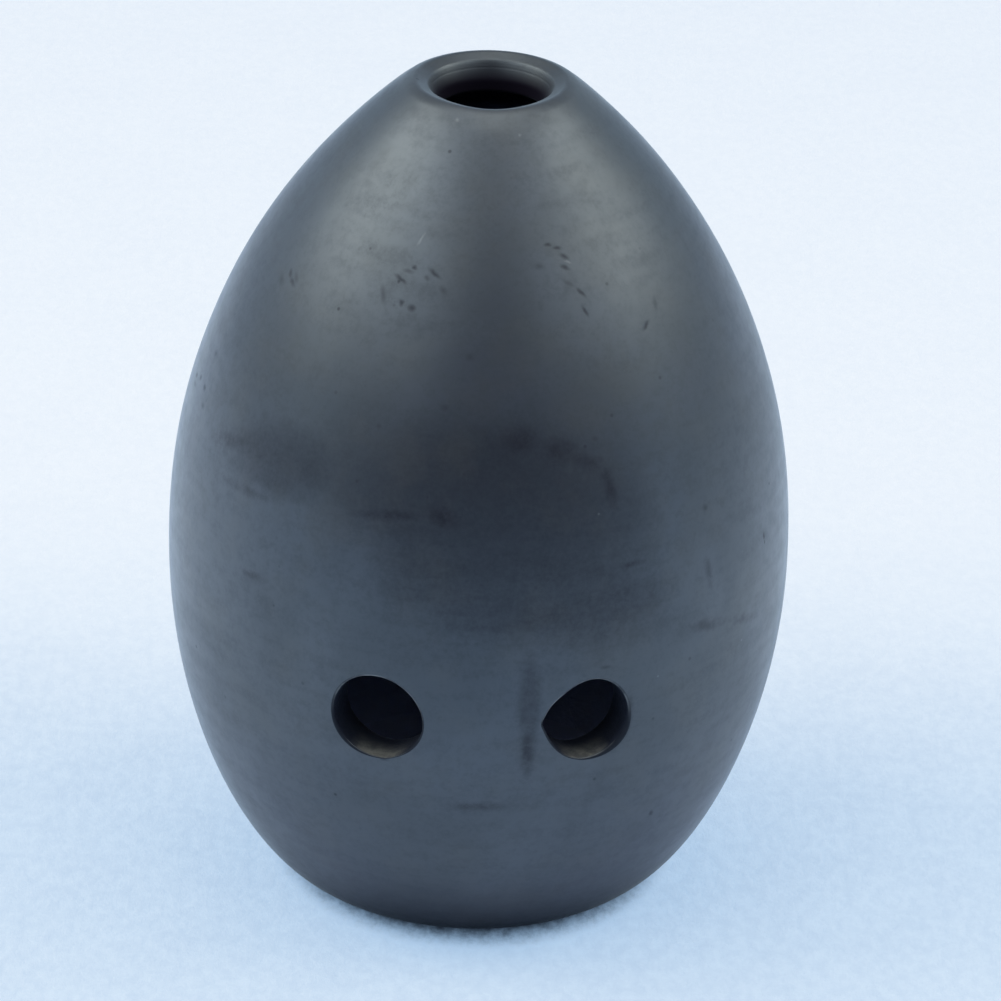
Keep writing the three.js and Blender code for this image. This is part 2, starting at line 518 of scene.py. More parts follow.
def window_round(hole, levels):
    """The rows and columns of the grid round a hole: lowest, highest, leftmost, rightmost."""
    reach = max(hole.reach(a) + hole.ease(a) for a in WINDOW_TURNS) + WINDOW_MARGIN
    lowest = max(0, bisect(levels, hole.level - reach) - 1)
    highest = min(len(levels) - 1, bisect_left(levels, hole.level + reach))
    half_turn = math.asin(reach / radius_at(CHAMBER, hole.level))
    heading = hole.heading % math.tau
    leftmost = math.floor((heading - half_turn) / math.tau * COLUMNS)
    rightmost = math.ceil((heading + half_turn) / math.tau * COLUMNS)
    return lowest, highest, leftmost, rightmost


def line_hole(skin, hole, window, levels, grids):
    """The rings of a finger hole, from the outside round its eased edge and through the wall."""
    lowest, highest, leftmost, rightmost = window
    cells = [(lowest, c) for c in range(leftmost, rightmost)]
    cells += [(r, rightmost) for r in range(lowest, highest)]
    cells += [(highest, c) for c in range(rightmost, leftmost, -1)]
    cells += [(r, leftmost) for r in range(highest, lowest, -1)]
    count = len(cells)
    outwards = Vector((math.cos(hole.heading), math.sin(hole.heading), 0))

    def border(line):
        """The window's points, as places beside and above the hole's axis."""
        return [hole.local(line, azimuth_of(c), levels[r]) for r, c in cells]

    even = [math.tau * k / count for k in range(count)]
    offsets = [math.atan2(place.y, place.x) - a for place, a in zip(border(OUTER), even)]
    spread = [math.remainder(offset - offsets[0], math.tau) for offset in offsets]
    start = offsets[0] + sum(spread) / count
    angles = [start + a for a in even]

    outer_ease = [hole.ease(a) for a in angles]
    inner_ease = [INNER_EASE] * count

    def rim(extras):
        """The outline's places, each moved out by an extra."""
        sides = zip(angles, extras)
        return [Vector((math.cos(a), math.sin(a))) * (hole.reach(a) + extra) for a, extra in sides]

    def window_rings(line, surface, eases):
        """Rings from the window's border in towards the start of the eased edge."""
        rings = []
        for ring in range(1, WINDOW_RINGS + 1):
            share = ring / WINDOW_RINGS
            places = [b.lerp(r, share) for b, r in zip(border(line), rim(eases))]
            rings.append([hole.on_surface(line, surface, place) for place in places])
        return rings

    def eased_edge(line, surface, eases, inwards):
        """Rings round the edge, from the surface to the bore's wall."""
        starts = [hole.on_surface(line, surface, place) for place in rim(eases)]
        corners = [hole.on_surface(line, surface, place) for place in rim([0] * count)]
        ends = [corner + inwards * ease for corner, ease in zip(corners, eases)]
        rings = []
        for ring in range(1, EASE_RINGS + 1):
            share = ring / EASE_RINGS
            legs = zip(starts, corners, ends)
            rings.append([s.lerp(c, share).lerp(c.lerp(e, share), share) for s, c, e in legs])
        return rings

    outer_edge = eased_edge(OUTER, outside, outer_ease, -outwards)
    inner_edge = eased_edge(CHAMBER, inside, inner_ease, outwards)
    rings = window_rings(OUTER, outside, outer_ease) + outer_edge
    worn_through = len(rings) - BARE_EDGE_RINGS
    burnished_rings = worn_through - WORN_EDGE_RINGS
    for ring in range(1, BORE_RINGS):
        share = ring / BORE_RINGS
        rings.append([a.lerp(b, share) for a, b in zip(outer_edge[-1], inner_edge[-1])])
    rings += inner_edge[::-1]
    rings += window_rings(CHAMBER, inside, inner_ease)[::-1]
    before = [grids[0][r][c % COLUMNS] for r, c in cells]
    for number, points in enumerate(rings):
        after = skin.ring(points)
        worn_slot = WORN if number < worn_through else BARE
        slot = BURNISHED if number < burnished_rings else worn_slot
        skin.bridge(before, after, slot)
        before = after
    skin.bridge(before, [grids[1][r][c % COLUMNS] for r, c in cells], BARE)


def foot():
    """The slab that closes the bottom: a dished base, a rounded rim, and the chamber's floor."""
    skin = Skin()
    rim = OUTER[:ARC_STEPS]
    side = resample(between(OUTER, OUTER[ARC_STEPS].y, FLOOR_LEVEL), FINE_STEP)
    profile = rim + side
    rings = skin.lathe(profile, len(profile))
    first = len(skin.points)
    dish = [FOOT_RADIUS * share for share in DISH_RINGS]
    skin.disc(rings[0], 0, dish, BURNISHED, upwards=False)
    for point in skin.points[first:]:
        depth = 1 - math.hypot(point.x, point.y) / FOOT_RADIUS
        point.z += DISH_DEPTH * smooth(depth / DISH_EDGE_SHARE)
    floor_rim = skin.ring(turned_ring((FOOT_RADIUS, FLOOR_LEVEL)))
    skin.bridge(rings[-1], floor_rim, BARE, flat=True)
    floor_radii = [FOOT_RADIUS * share for share in FLOOR_RINGS]
    skin.disc(floor_rim, FLOOR_LEVEL, floor_radii, BARE, upwards=True)
    skin.true_ring(rings[-1], outside, FLOOR_LEVEL)
    return skin


def grooved(line, top, bottom):
    """The line with shallow turning rings pressed into its slope between two points."""
    along = bottom - top
    into_clay = Vector((-along.y, along.x)).normalized()
    marked = []
    for point in line:
        share = (point - top).dot(along) / along.length_squared
        wave = max(0, math.sin(math.tau * GROOVES * share)) if 0 < share < 1 else 0
        marked.append(point + into_clay * GROOVE_DEPTH * wave * wave)
    return marked


def mouth():
    """The crown: the shoulder up to its crest, the rim, the bevel, the throat and the roof."""
    skin = Skin()
    crown = rounding(CROWN_CENTRE, CROWN_ROUNDING, SHOULDER_FALL, CREST_ANGLE)
    shoulder = resample(between(OUTER, MOUTH_LEVEL, crown[0].y), FINE_STEP)
    out = Vector((math.sin(CREST_ANGLE), math.cos(CREST_ANGLE)))
    crest_centre = CROWN_CENTRE + out * (CROWN_ROUNDING - CREST_ROUNDING)
    crest = rounding(crest_centre, CREST_ROUNDING, CREST_ANGLE, -CREST_FALL)
    inwards = crest[-1].x - RIM_RADIUS
    rim = crest[-1] - Vector((inwards, inwards * math.tan(CREST_FALL)))
    step = rim - Vector((STEP_WIDTH, STEP_DEPTH))
    throat = ROOF + UP * THROAT_LENGTH
    underside = between(CHAMBER, MOUTH_LEVEL, ROOF.y)[::-1]
    far_down = underside[len(underside) // 2 :]
    corners = [crest[-1], rim, step, throat, ROOF, far_down[0]]
    inner = grooved(resample(softened(corners, EDGE_SOFTENING), BEVEL_STEP), rim, step)
    burnished = shoulder[:-1] + crown + crest[1:] + [p for p in inner[1:] if p.y > ROOF.y]
    profile = burnished + [p for p in inner if p.y <= ROOF.y] + far_down[1:]
    for point in profile:
        point.y -= CREST_WEAR * smooth((point.y - HEIGHT) / CREST_WEAR_REACH + 1)
    rings = skin.lathe(profile, len(burnished))
    for point in skin.points:
        wear = LIP_WEAR * smooth((point.z - HEIGHT) / CREST_WEAR_REACH + 1)
        aside = math.atan2(point.x, -point.y) / LIP_WEAR_WIDTH
        point.z -= wear * math.exp(-aside * aside)
    skin.bridge(rings[-1], rings[0], BARE, flat=True)
    skin.true_ring(rings[0], outside, MOUTH_LEVEL)
    skin.true_ring(rings[-1], inside, MOUTH_LEVEL, -1)
    return skin


class Value:
    """An output of a shader's node, so that sums on it can be written as sums."""

    def __init__(self, shader, socket):
        self.shader = shader
        self.socket = socket

    def __add__(self, other):
        return self.shader.math("ADD", self, other)

    def __mul__(self, other):
        return self.shader.math("MULTIPLY", self, other)

    def larger(self, *others):
        """The largest of this number and others."""
        largest = self
        for other in others:
            largest = self.shader.math("MAXIMUM", largest, other)
        return largest

    def band(self, low, high, from_share=0, to_share=1):
        """Follows this number smoothly from one share to another between two of its levels."""
        inputs = {"Value": self, "From Min": low, "From Max": high}
        inputs |= {"To Min": from_share, "To Max": to_share}
        return self.shader.output("MapRange", inputs, interpolation_type="SMOOTHSTEP")

    def axis(self, number):
        """One coordinate of this vector: 0 is X, 1 is Y, 2 is Z."""
        return self.shader.output("SeparateXYZ", {0: self}, number)

    def radius(self, stretch=1):
        """This place's distance from the Z axis, in a space that may be stretched along X."""
        flat = self.shader.vector("MULTIPLY", self, (stretch, 1, 0))
        return self.shader.vector("LENGTH", flat, out=1)


class Shader:
    """The nodes of a material or a world, with a short call for each kind that it uses."""

    def __init__(self, owner):
        owner.use_nodes = True
        self.tree = owner.node_tree
        self.tree.nodes.clear()

    def node(self, kind, inputs=(), **settings):
        """A node of a kind, whose inputs take numbers, colours or the outputs of other nodes."""
        node = self.tree.nodes.new("ShaderNode" + kind)
        for name, setting in settings.items():
            setattr(node, name, setting)
        for name, given in dict(inputs).items():
            if isinstance(given, Value):
                self.tree.links.new(given.socket, node.inputs[name])
            else:
                node.inputs[name].default_value = given
        return node

    def output(self, kind, inputs=(), out=0, **settings):
        """An output of a new node."""
        return Value(self, self.node(kind, inputs, **settings).outputs[out])

    def math(self, operation, *numbers):
        """A sum on numbers."""
        return self.output("Math", enumerate(numbers), operation=operation)

    def vector(self, operation, *vectors, out=0):
        """A sum on vectors: its first output is a vector, its second a number."""
        return self.output("VectorMath", enumerate(vectors), out, operation=operation)

    def noise(self, place, wavelength, detail=2, roughness=0.5, distortion=0, out=0):
        """Smooth noise, from 0 to 1, whose waves are about as long as asked for."""
        inputs = {"Vector": place, "Scale": 1 / wavelength, "Detail": detail}
        inputs |= {"Roughness": roughness, "Distortion": distortion}
        return self.output("TexNoise", inputs, out)

    def blend(self, share, first, second):
        """A colour between two; numbers 6, 7 and 2 are the node's sockets for colours."""
        return self.output("Mix", {0: share, 6: first, 7: second}, 2, data_type="RGBA")

    def stretched(self, place, turn, stretch):
        """Coordinates turned about each axis and then stretched along each."""
        return self.output("Mapping", {"Vector": place, "Rotation": turn, "Scale": stretch})

    def bump(self, height, depth, **under):
        """The normal of a relief, on top of another normal if one is given."""
        return self.output("Bump", {"Height": height, "Distance": depth} | under)

    def oval(self, place, start, end, reach, depth):
        """The distance from the middle of an oval body, as a share of the way to its surface."""
        along = (end - start).normalized()
        across = Vector((start.x, start.y, 0)).cross(along).normalized()
        turn = Matrix((along, across, along.cross(across))).transposed()
        inputs = {"Vector": place, "Location": (start + end) / 2, "Rotation": turn.to_euler()}
        inputs["Scale"] = ((end - start).length / 2 + reach, reach, depth)
        scaled = self.output("Mapping", inputs, vector_type="TEXTURE")
        return self.vector("LENGTH", scaled, out=1)

    def nearest(self, place, marks, depth):
        """The distance from the nearest of some marks or clouds, as a share of its reach."""
        nearest = FAR_AWAY
        for mark in marks:
            away = self.oval(place, *mark_ends(mark), mark[4] * MM, depth)
            nearest = self.math("MINIMUM", away, nearest)
        return nearest

    def marks(self, place, marks, core=0):
        """1 in the core of small oval marks on the outside, which falls to 0 at their edges."""
        return self.nearest(place, marks, MARK_DEPTH).band(1, core)

    def principled(self, tone, roughness, normal, shine, extra=()):
        """Give the material its surface."""
        inputs = {"Base Color": tone, "Roughness": roughness, "Normal": normal}
        inputs |= {"Specular IOR Level": shine} | dict(extra)
        self.node("OutputMaterial", {"Surface": self.output("BsdfPrincipled", inputs)})


def new_material(name):
    """A material, its shader, and the place on the object that its nodes start from."""
    material = bpy.data.materials.new(name)
    shader = Shader(material)
    return material, shader, shader.output("TexCoord", out="Object")


def mark_ends(mark):
    """The two ends on the outside of a mark, smudge or cloud."""
    return (outside(math.radians(PLAYER_SIDE + mark[i]), mark[i + 1] * MM) for i in (0, 2))


def colour(red, green, blue):
    """An opaque colour, in linear light."""
    return (red, green, blue, 1)


# Marks of use on the player's side, in degrees and millimetres: the azimuth from the front and
# the height of both ends, and half the width
DENTS = [
    (-27.5, 87, -23.1, 86.3, 0.38),
    (-25.6, 86.6, -25.5, 86.3, 0.35),
    (-22.5, 88, -21.6, 87.9, 0.35),
    (-18, 88.1, -13.9, 87.3, 0.39),
    (-23.5, 84.5, -23.3, 84.3, 0.52),
    (-20.6, 84.1, -20, 84, 0.61),
    (16.4, 90.6, 18.5, 90.6, 0.32),
    (19, 90.3, 21.3, 90.1, 0.32),
    (20.6, 89.6, 22.9, 89, 0.43),
    (20.1, 88.5, 22.5, 88, 0.41),
    (23.3, 86.2, 25.7, 85.1, 0.38),
    (23.8, 84.4, 25.1, 83.2, 0.38),
    (41.9, 81.3, 39, 80.5, 0.43),
    (-61, 83.5, -59.7, 82.8, 0.46),
    (-59.7, 82.8, -56.6, 82.3, 0.43),
    (-84.1, 65.4, -83.1, 65.5, 0.49),
    (-80.2, 66.1, -79.4, 66.2, 0.52),
    (-75.8, 66, -75.2, 66, 0.61),
    (63.8, 51.7, 63.9, 51.1, 0.52),
    (64, 50.7, 64, 50.4, 0.32),
    (37.2, 19.6, 37.4, 19.2, 0.49),
    (-11.6, 64.7, -11.6, 64.4, 0.43),
    (-18.7, 30.6, -17.2, 30.5, 0.41),
]
FAINT_DENTS = [
    (-25.3, 87.6, -22, 87.5, 0.36),
    (-18.4, 87.3, -17.3, 87.1, 0.43),
    (-13.8, 86.5, -11.7, 85.9, 0.58),
    (-30, 85.8, -28, 83.9, 0.58),
    (12.8, 88.7, 14.8, 88.6, 0.43),
    (19.5, 87.3, 23.3, 86.2, 0.43),
    (45.9, 83.3, 45.1, 82, 0.58),
    (-58.5, 83.5, -56.6, 82.8, 0.58),
    (-63.3, 82.4, -61.7, 81.7, 0.72),
    (-84.3, 64.5, -81, 64.6, 0.43),
    (-74.1, 64.3, -73.1, 64.2, 0.65),
    (-76.6, 70.2, -75.8, 70.3, 0.65),
    (42.9, 45.3, 43.4, 44.9, 0.72),
    (31.5, 51.2, 31.6, 51, 0.72),
    (55.3, 43, 55.6, 42.7, 0.72),
    (21.1, 43.2, 23.4, 43, 0.43),
]
BRIGHT_MARKS = [
    (-21.3, 91.4, -23.2, 90, 0.26),
    (-22.1, 101.8, -21.9, 101.7, 0.34),
    (15, 100.7, 15, 100.6, 0.27),
    (21.6, 88.9, 23.6, 88.6, 0.2),
]
SPOTS = [
    (-5, 79.8, -4.4, 79.8, 0.7),
    (-9.8, 74.4, -9.2, 74.4, 0.75),
    (12.4, 71.2, 12.8, 71.2, 0.55),
    (22.4, 68.4, 22.9, 68, 0.8),
    (-8.2, 61.8, -7.3, 62.3, 1.1),
    (-4, 68.3, -2.9, 68, 1.2),
    (3.4, 72.4, 4.2, 72.2, 0.9),
    (21.6, 70.7, 22.3, 70.5, 0.6),
    (45.3, 59.4, 45.8, 59.4, 0.6),
    (-23.1, 71.5, -22.8, 71.5, 0.6),
    (-16.8, 66, -16.2, 66.1, 0.6),
    (24.5, 63.2, 24.8, 62.7, 0.7),
]
SMUDGES = [
    (-27, 61.2, -12, 62.3, 1),
    (15.9, 69.3, 23.3, 67.2, 1.3),
    (23.3, 67.2, 24.7, 63, 1.3),
    (24.6, 55.4, 30.8, 55.6, 0.6),
    (44.5, 53.5, 45.5, 49.4, 0.9),
    (-61.2, 59, -42.7, 59.7, 1),
    (-67.3, 62.1, -54.2, 64.5, 1.4),
    (-50.4, 49.8, -42.3, 49.9, 0.8),
    (8.3, 35.5, 8.5, 29, 1.1),
    (-6.8, 24.5, 6.1, 24.8, 1.2),
    # Along the right edge of the right thumb hole: painted shade where the edge turns into the hole
    (27.6, 39.6, 27.2, 33.2, 1),
    (40.1, 45.3, 50, 44, 1.2),
    (50, 44, 61.2, 41.5, 1),
    (-9.8, 62.8, -6.6, 62, 1.9),
    (5, 71.2, 7.5, 71.2, 2.6),
    (13.5, 70, 15.5, 69.7, 2.4),
]
MARKS = DENTS + FAINT_DENTS + BRIGHT_MARKS + SPOTS + SMUDGES
MARK_DEPTH = 1.5 * MM
MARK_MARGIN = 1.2 * MM
FAR_AWAY = 9

# Clouds that the smoke left, given like the marks; the first, wide across the front, is also
# painted shade on the belly's darker middle
SMOKE = [
    (-13.5, 63, 15, 60.5, 15),
    (2, 52.5, 28, 51.5, 7.5),
    (8.1, 47.5, 8.7, 28.5, 1.9),
    (-54, 63.5, -36, 65, 5.5),
    (118, 64, 140, 58, 13),
    (-150, 38, -128, 44, 12),
    (172, 78, -176, 72, 9),
]
SMOKE_DEPTH = 22 * MM

# Heights between which the throat darkens, deeper down
THROAT_DARKENING = (HEIGHT - 0.9 * MM, HEIGHT - 3.3 * MM)

# Noise: wavelength, and for some its detail, roughness and distortion
CLOUD_NOISE = (21 * MM, 2, 0.5, 0.6)
MOTTLE_NOISE = (1.9 * MM, 5, 0.74)
WARM_NOISE = (8 * MM, 4, 0.6)
LANE_NOISE = (19 * MM, 3, 0.6)
SLANT_NOISE = (16 * MM, 3, 0.6)
SPECKLE_NOISE = (0.6 * MM, 3, 0.7)

# Turns and stretch of the noise of the burnishing strokes, which run round, level or slanting
LANE_TURN = (0.05, 0.04, 0)
SLANT_TURN = (0.4, 0.62, 0.3)
STROKE_STRETCH = (1, 1, 9)

# A band is the two levels between which a look sets in, and for some its strength at each
CLOUDY_BAND = (0.36, 0.66)
CLOUD_FRAYING = 0.8
SMOKE_BAND = (1.45, 0.75)
SMOKE_TONE = 0.5
MOTTLE_BAND = (0.4, 0.64)
MOTTLE_BY_SMOKE = (1.7, 0.9, 0.4, 0.6)
WARM_BAND = (0.42, 0.7, 0, 0.4)

# Grains and pinholes lie in the middle of cells: how far each reaches, and in which cells; the
# pinholes are dark as painted shade, with no relief
CELL_SIZE = 2.6 * MM
GRAIN_BAND, GRAIN_CELLS, GRAIN_STRENGTH = (0.08, 0.03), (0.95, 0.96), 0.6
PIN_BAND, PIN_CELLS, PIN_STRENGTH = (0.13, 0.04), (0.86, 0.97), 0.55
PALE_TONE = 0.5

# Relief in millimetres
MOTTLE_RELIEF = 0.009
STROKE_RELIEF = 0.007
DENT_RELIEF = -0.02

# How much each look takes from the shine
MOTTLE_DULLNESS = 0.14
SMOKE_DULLNESS = 0.3
SMUDGE_DULLNESS = 0.22
DARK_DULLNESS = 0.8
SPECKLE_DULLNESS = (0.3, 0.7, -0.07, 0.07)
STROKE_DULLNESS = (0.35, 0.65, -0.05, 0.05)
SHINE = 0.5

# Roughness from the mottling, and what the strokes, the clouds and the dark marks add to it
MOTTLE_ROUGHNESS = (0.3, 0.7, 0.41, 0.47)
STROKE_ROUGHNESS = (0.35, 0.65, -0.02, 0.02)
CLOUD_ROUGHNESS = (0.35, 0.65, 0.02, -0.02)
DARK_ROUGHNESS = 0.2

# How ragged the edges of the marks of use are, and how strongly each kind shows
RAGGEDNESS = 0.35 * MM
RAGGED_WAVE = 0.8 * MM
DENT_STRENGTH = 0.6
FAINT_STRENGTH = 0.35
SPOT_STRENGTH = 0.42
BRIGHT_STRENGTH = 0.7
SMUDGE_CORE = 0.1
SMUDGE_BAND = (0.35, 0.6, 0.55, 1)
SMUDGE_TONE = 0.8

DARK_SLIP = colour(0.015, 0.017, 0.023)
PALE_SLIP = colour(0.026, 0.029, 0.038)
MOTTLE_SLIP = colour(0.013, 0.015, 0.02)
WARM_SLIP = colour(0.031, 0.0295, 0.029)
GRAIN = colour(0.16, 0.16, 0.16)
SOOT = colour(0.0085, 0.0068, 0.0115)
GLOSS = {
    "IOR": 1.71,
    "Specular Tint": colour(0.89, 0.98, 1),
    "Sheen Weight": 0.26,
    "Sheen Roughness": 0.27,
    "Sheen Tint": colour(0.75, 0.9, 1),
}


def burnished_clay(name, scuffed):
    """The smoked and burnished slip of the outside, with or without the marks of use."""
    material, shader, place = new_material(name)

    # Clouds of smoke and the finer mottling of the slip, strongest near the clouds
    clouds = shader.noise(place, *CLOUD_NOISE)
    mottle = shader.noise(place, *MOTTLE_NOISE)
    away = clouds * CLOUD_FRAYING + shader.nearest(place, SMOKE, SMOKE_DEPTH)
    smoke = away.band(*SMOKE_BAND)
    mottled = mottle.band(*MOTTLE_BAND) * away.band(*MOTTLE_BY_SMOKE)
    warm = shader.noise(place, *WARM_NOISE)
    tone = shader.blend(clouds.band(*CLOUDY_BAND), DARK_SLIP, PALE_SLIP)
    tone = shader.blend(smoke * SMOKE_TONE, tone, SOOT)
    tone = shader.blend(mottled, tone, MOTTLE_SLIP)
    tone = shader.blend(warm.band(*WARM_BAND), tone, WARM_SLIP)

    # Strokes of the burnishing pebble
    lanes = shader.noise(shader.stretched(place, LANE_TURN, STROKE_STRETCH), *LANE_NOISE)
    slants = shader.noise(shader.stretched(place, SLANT_TURN, STROKE_STRETCH), *SLANT_NOISE)
    strokes = (lanes + slants) * 0.5

    # Pale grains, and dark pinholes painted as shade
    cells = shader.node("TexVoronoi", {"Vector": place, "Scale": 1 / CELL_SIZE}).outputs
    middle, cell = Value(shader, cells["Distance"]), Value(shader, cells["Color"])
    pale = middle.band(*GRAIN_BAND) * cell.axis(0).band(*GRAIN_CELLS) * GRAIN_STRENGTH
    dark = middle.band(*PIN_BAND) * cell.axis(1).band(*PIN_CELLS) * PIN_STRENGTH

    # Relief, and how dull each place is
    relief = mottle * MOTTLE_RELIEF + strokes * STROKE_RELIEF
    speckle = shader.noise(place, *SPECKLE_NOISE)
    dull = mottled * MOTTLE_DULLNESS + smoke * SMOKE_DULLNESS
    dull = dull + speckle.band(*SPECKLE_DULLNESS) + strokes.band(*STROKE_DULLNESS)

    # The marks of use; all but the smudges have ragged edges
    if scuffed:
        ragged = shader.noise(place, RAGGED_WAVE, out="Color")
        centred = shader.vector("SUBTRACT", place, (RAGGEDNESS / 2,) * 3)
        ragged = shader.vector("MULTIPLY_ADD", ragged, (RAGGEDNESS,) * 3, centred)
        dents = shader.marks(ragged, DENTS) * DENT_STRENGTH
        faint = shader.marks(ragged, FAINT_DENTS) * FAINT_STRENGTH
        spots = shader.marks(ragged, SPOTS) * SPOT_STRENGTH
        smudges = shader.marks(place, SMUDGES, SMUDGE_CORE) * mottle.band(*SMUDGE_BAND)
        pale = pale.larger(shader.marks(ragged, BRIGHT_MARKS) * BRIGHT_STRENGTH)
        dark = dark.larger(spots, dents, faint)
        tone = shader.blend(smudges * SMUDGE_TONE, tone, SOOT)
        dull = smudges * SMUDGE_DULLNESS + dull
        relief = dents * DENT_RELIEF + relief

    # The throat of the blow hole darkens deeper down
    level = place.axis(2)
    in_throat = shader.math("LESS_THAN", place.radius(), RIM_RADIUS)
    in_throat = in_throat * shader.math("GREATER_THAN", level, MOUTH_LEVEL)
    darker_in_throat = in_throat * level.band(*THROAT_DARKENING)

    tone = shader.blend(pale * PALE_TONE, tone, GRAIN)
    tone = shader.blend(dark.larger(darker_in_throat), tone, SOOT)
    dull = dull.larger(dark * DARK_DULLNESS, darker_in_throat)
    roughness = mottle.band(*MOTTLE_ROUGHNESS) + strokes.band(*STROKE_ROUGHNESS)
    roughness = roughness + clouds.band(*CLOUD_ROUGHNESS) + dark * DARK_ROUGHNESS
    shine = dull * -SHINE + SHINE
    shader.principled(tone, roughness, shader.bump(relief, MM), shine, GLOSS)
    return material


# Grit and mottling of the clay that no slip covers: wavelength, detail and roughness of the noise
GRIT_NOISE = (0.45 * MM, 3, 0.6)
BARE_MOTTLE_NOISE = (2.2 * MM, 5, 0.65)
PATCH_NOISE = (3.5 * MM, 3, 0.6)

# Lighter grey where faces look up, in the outer part of the wall, in patches: partly worn clay,
# partly painted light falling on them
LOOKING_UP_BAND = (0.74, 1)
OUTER_WALL = (BELLY_RADIUS - WALL, BELLY_RADIUS - 0.3 * WALL)
BARE_PATCHES = (0.62, 0.36, 0.45, 1)

# Where the chamber's dim clay shows, grey with a painted blue tint of shade: inside the wall, and
# below the mouth ring
WITHIN_WALL = (BELLY_RADIUS - 1.1 * WALL, BELLY_RADIUS - 1.3 * WALL)
BELOW_MOUTH = (MOUTH_LEVEL, MOUTH_LEVEL - WALL)

# Where the slip has worn through along a hole's edge, painted lighter as edge light: faces that
# look down or up, in patches
DOWNWARD_BAND = (0, -0.5)
UPWARD_BAND = (0.5, 0.85, 0, 0.8)
WORN_PATCHES = (0.35, 0.6, 0.25, 1)

BARE_ROUGHNESS = (0.3, 0.7, 0.75, 0.9)
WORN_ROUGHNESS = (0.3, 0.7, 0.55, 0.75)
BARE_GRIT_RELIEF = 0.08 * MM
BARE_MOTTLE_RELIEF = 0.15 * MM
WORN_GRIT_RELIEF = 0.05 * MM
BARE_SHINE = 0.08
WORN_SHINE = 0.12
DARK_BORE_CLAY = colour(0.018, 0.0205, 0.03)
CHAMBER_CLAY_BLUE_SHADE = colour(0.26, 0.3, 0.44)
GREY_CLAY_AND_LIGHT = colour(0.15, 0.145, 0.125)
WORN_CLAY_AND_EDGE_LIGHT = colour(0.19, 0.195, 0.19)


def bare_clay():
    """The clay that no slip covers: dark in the bores; lighter grey on the faces that look up, partly
    worn clay and partly painted light; dim inside, with a painted blue tint of shade.
    """
    material, shader, place = new_material("bare_clay")
    mottle = shader.noise(place, *BARE_MOTTLE_NOISE)
    grit = shader.noise(place, *GRIT_NOISE)
    upwards = shader.output("NewGeometry", out="Normal").axis(2)
    radius = place.radius()
    inner = radius.band(*WITHIN_WALL) * place.axis(2).band(*BELOW_MOUTH)
    worn = radius.band(*OUTER_WALL) * upwards.band(*LOOKING_UP_BAND) * mottle.band(*BARE_PATCHES)
    # Inside the chamber, grey clay with a painted blue tint of shade
    tone = shader.blend(inner, DARK_BORE_CLAY, CHAMBER_CLAY_BLUE_SHADE)
    # Faces that look up turn lighter grey: partly worn clay, partly painted light
    tone = shader.blend(worn, tone, GREY_CLAY_AND_LIGHT)
    gritty = shader.bump(grit, BARE_GRIT_RELIEF)
    normal = shader.bump(mottle, BARE_MOTTLE_RELIEF, Normal=gritty)
    shader.principled(tone, grit.band(*BARE_ROUGHNESS), normal, BARE_SHINE)
    return material


def worn_clay_with_edge_light():
    """The thin line along a hole's edge where the slip has worn through, in patches, lighter on the
    faces that tilt up or down as painted edge light.
    """
    material, shader, place = new_material("worn_clay_with_edge_light")
    patches = shader.noise(place, *PATCH_NOISE)
    grit = shader.noise(place, *GRIT_NOISE)
    upwards = shader.output("NewGeometry", out="Normal").axis(2)
    # Faces that tilt up or down are painted lighter, as edge light, in patches of worn clay
    tilted = upwards.band(*DOWNWARD_BAND).larger(upwards.band(*UPWARD_BAND))
    tone = shader.blend(tilted * patches.band(*WORN_PATCHES), DARK_SLIP, WORN_CLAY_AND_EDGE_LIGHT)
    normal = shader.bump(grit, WORN_GRIT_RELIEF)
    shader.principled(tone, grit.band(*WORN_ROUGHNESS), normal, WORN_SHINE)
    return material


# Depths, as Y, between which the cloth and its glow change from their near to their far colours;
# the cloth's lighter far colour is painted light
CLOTH_DEPTHS = (-150 * MM, 60 * MM)
GLOW_DEPTHS = (-5 * MM, 110 * MM)

# Painted shade of the felt's tufts and its wider drift: noise, how strongly they shade, and what
# is left far away
TUFT_STRETCH = (1, 0.6, 1)
TUFT_NOISE = (1.6 * MM, 4, 0.7)
TUFT_SHADE = (0.3, 0.7, 0, 0.16)
TUFT_RELIEF = 0.2 * MM
DRIFT_NOISE = (14 * MM, 3)
DRIFT_SHADE = (0.3, 0.7, 0, 0.05)
FAR_SHADE = (0, 1, 1, 0.35)

# The painted contact shadow: where it starts and ends outside the foot, as seen directly and as
# seen in the burnish, how far the tufts fray it, and the shift and stretch along X of its oval
CONTACT_START, CONTACT_END, HIDDEN_END = 0.2 * MM, 6.2 * MM, 14.5 * MM
CONTACT_FRAYING = (0.2, 0.8, -0.8 * MM, 0.8 * MM)
CONTACT_SHIFT = 0.2 * MM
CONTACT_STRETCH = 1.09

# Distances to each side between which the cloth's glow, as the burnish sees it, sets in and ends
SIDE_GLOW_START = (30 * MM, 80 * MM)
SIDE_GLOW_END = (190 * MM, 130 * MM)

CLOTH_ROUGHNESS = 0.95
NEAR_CLOTH = colour(0.55, 0.68, 0.86)
FAR_CLOTH_PAINTED_LIGHTER = colour(0.765, 0.855, 0.98)
SEEN_CLOTH = colour(0.31, 0.24, 0.15)
CLOTH_HOLLOW_SHADE = colour(0.14, 0.2, 0.3)
CONTACT_SHADOW = colour(0.01, 0.015, 0.025)
NEAR_GLOW = colour(0.305, 0.5, 0.75)
FAR_GLOW = colour(0.43, 0.567, 0.765)
FRONT_GLOW = colour(0, 0.01, 0.08)
SIDE_GLOW = colour(0.16, 0.19, 0.25)
CLOTH_HALF_SIZE = 4


